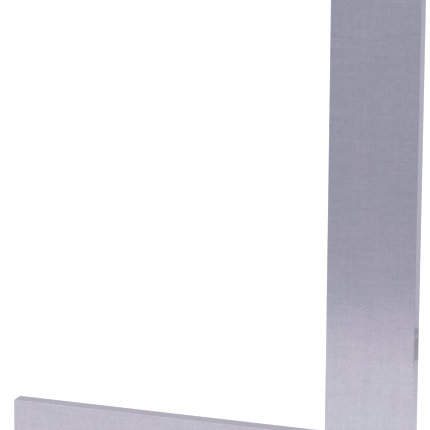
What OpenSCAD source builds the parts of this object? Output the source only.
// Flat steel square: two ground bars of one thickness, riveted together at a right angle.
// It stands on the lower edge of its stock, with the blade upright at the +X end.
// X runs along the stock, Y through the thickness and Z up the blade.
// The origin is under the middle of the stock's length, half way through its thickness.

/* [Legs] */
// Length of the blade, from the base edge to its top end
blade_l = 200; // [150:1:250]
// Length of the stock, from its free end to the blade's outer edge
stock_l = 130; // [90:1:170]
// Width of both legs
leg_w = 27.5; // [24:0.5:35]
// Thickness of both legs
leg_t = 5; // [4:0.5:8]

/* [Edges] */
// Width of the small bevel that breaks every outer edge
edge_break = 0.15; // [0.1:0.05:0.6]
// Radius of the round relief in the inner corner
relief_r = 1; // [0.6:0.1:1.5]

/* [Corner joint] */
// Thickness of the blade's tongue, which fills the slot in the stock
tongue_t = 2; // [1.4:0.1:2.4]
// Diameter of each rivet
rivet_d = 4; // [3:0.5:5]
// Distance from the outer rivets' centres to the edges of the corner
rivet_inset = 7; // [5:0.5:8]
// Segments round a rivet and the relief
round_segments = 48; // [24:8:96]

/* [Hidden] */
outer_x = stock_l / 2;
inner_x = outer_x - leg_w;
// How far a cutting tool runs past the surface that it cuts
overrun = 1;

// Each rivet's name, and its place from the corner's middle in steps along X and Z
RIVETS = [
    ["rivet_low_inner", -1, -1],
    ["rivet_low_outer", 1, -1],
    ["rivet_middle", 0, 0],
    ["rivet_high_inner", -1, 1],
    ["rivet_high_outer", 1, 1],
];
corner_middle = [outer_x - leg_w / 2, leg_w / 2];
rivet_step = leg_w / 2 - rivet_inset;

// A rectangle from the origin with its corners cut off at 45 degrees
module bevelled_outline(w, h) {
    c = edge_break;
    polygon([[c, 0], [w - c, 0], [w, c], [w, h - c], [w - c, h], [c, h], [0, h - c], [0, c]]);
}

// A flat bar from the origin with every edge broken, as the solid common to its three outlines
module bevelled_bar(size) {
    intersection() {
        linear_extrude(size.z)
            bevelled_outline(size.x, size.y);
        translate([0, size.y, 0])
            rotate([90, 0, 0])
                linear_extrude(size.y)
                    bevelled_outline(size.x, size.z);
        rotate([90, 0, 90])
            linear_extrude(size.x)
                bevelled_outline(size.y, size.z);
    }
}

// A round bar that runs right through the thickness at a place in the XZ plane
module through_y(place, d, extra = 0) {
    translate([place.x, leg_t / 2 + extra, place.y])
        rotate([90, 0, 0])
            cylinder(d = d, h = leg_t + 2 * extra, $fn = round_segments);
}

function rivet_place(r) = corner_middle + rivet_step * [r[1], r[2]];

// The outer form of both legs together, drilled for the rivets and relieved in the inner corner
module drilled_square() {
    difference() {
        union() {
            translate([-outer_x, -leg_t / 2, 0])
                bevelled_bar([stock_l, leg_t, leg_w]);
            translate([inner_x, -leg_t / 2, 0])
                bevelled_bar([leg_w, leg_t, blade_l]);
        }
        through_y([inner_x, leg_w], 2 * relief_r, overrun);
        for (r = RIVETS)
            through_y(rivet_place(r), rivet_d, overrun);
    }
}

// The space that belongs to the blade: above the stock, and the thin tongue inside it
module blade_space() {
    translate([inner_x, -leg_t / 2 - overrun, leg_w])
        cube([leg_w + overrun, leg_t + 2 * overrun, blade_l]);
    translate([inner_x, -tongue_t / 2, -overrun])
        cube([leg_w + overrun, tongue_t, leg_w + 2 * overrun]);
}

// The long leg, whose lower end is thinned to a tongue
module blade() {
    color("#b7b6c2")
        intersection() {
            drilled_square();
            blade_space();
        }
}

// The short leg, slotted at one end so that its two cheeks hold the tongue
module stock() {
    color("#bfbec9")
        difference() {
            drilled_square();
            blade_space();
        }
}

// A rivet through both cheeks and the tongue, ground flush with both faces
module rivet(r) {
    color("#a9a8b2")
        through_y(rivet_place(r), rivet_d);
}

blade();
stock();
for (r = RIVETS)
    rivet(r);
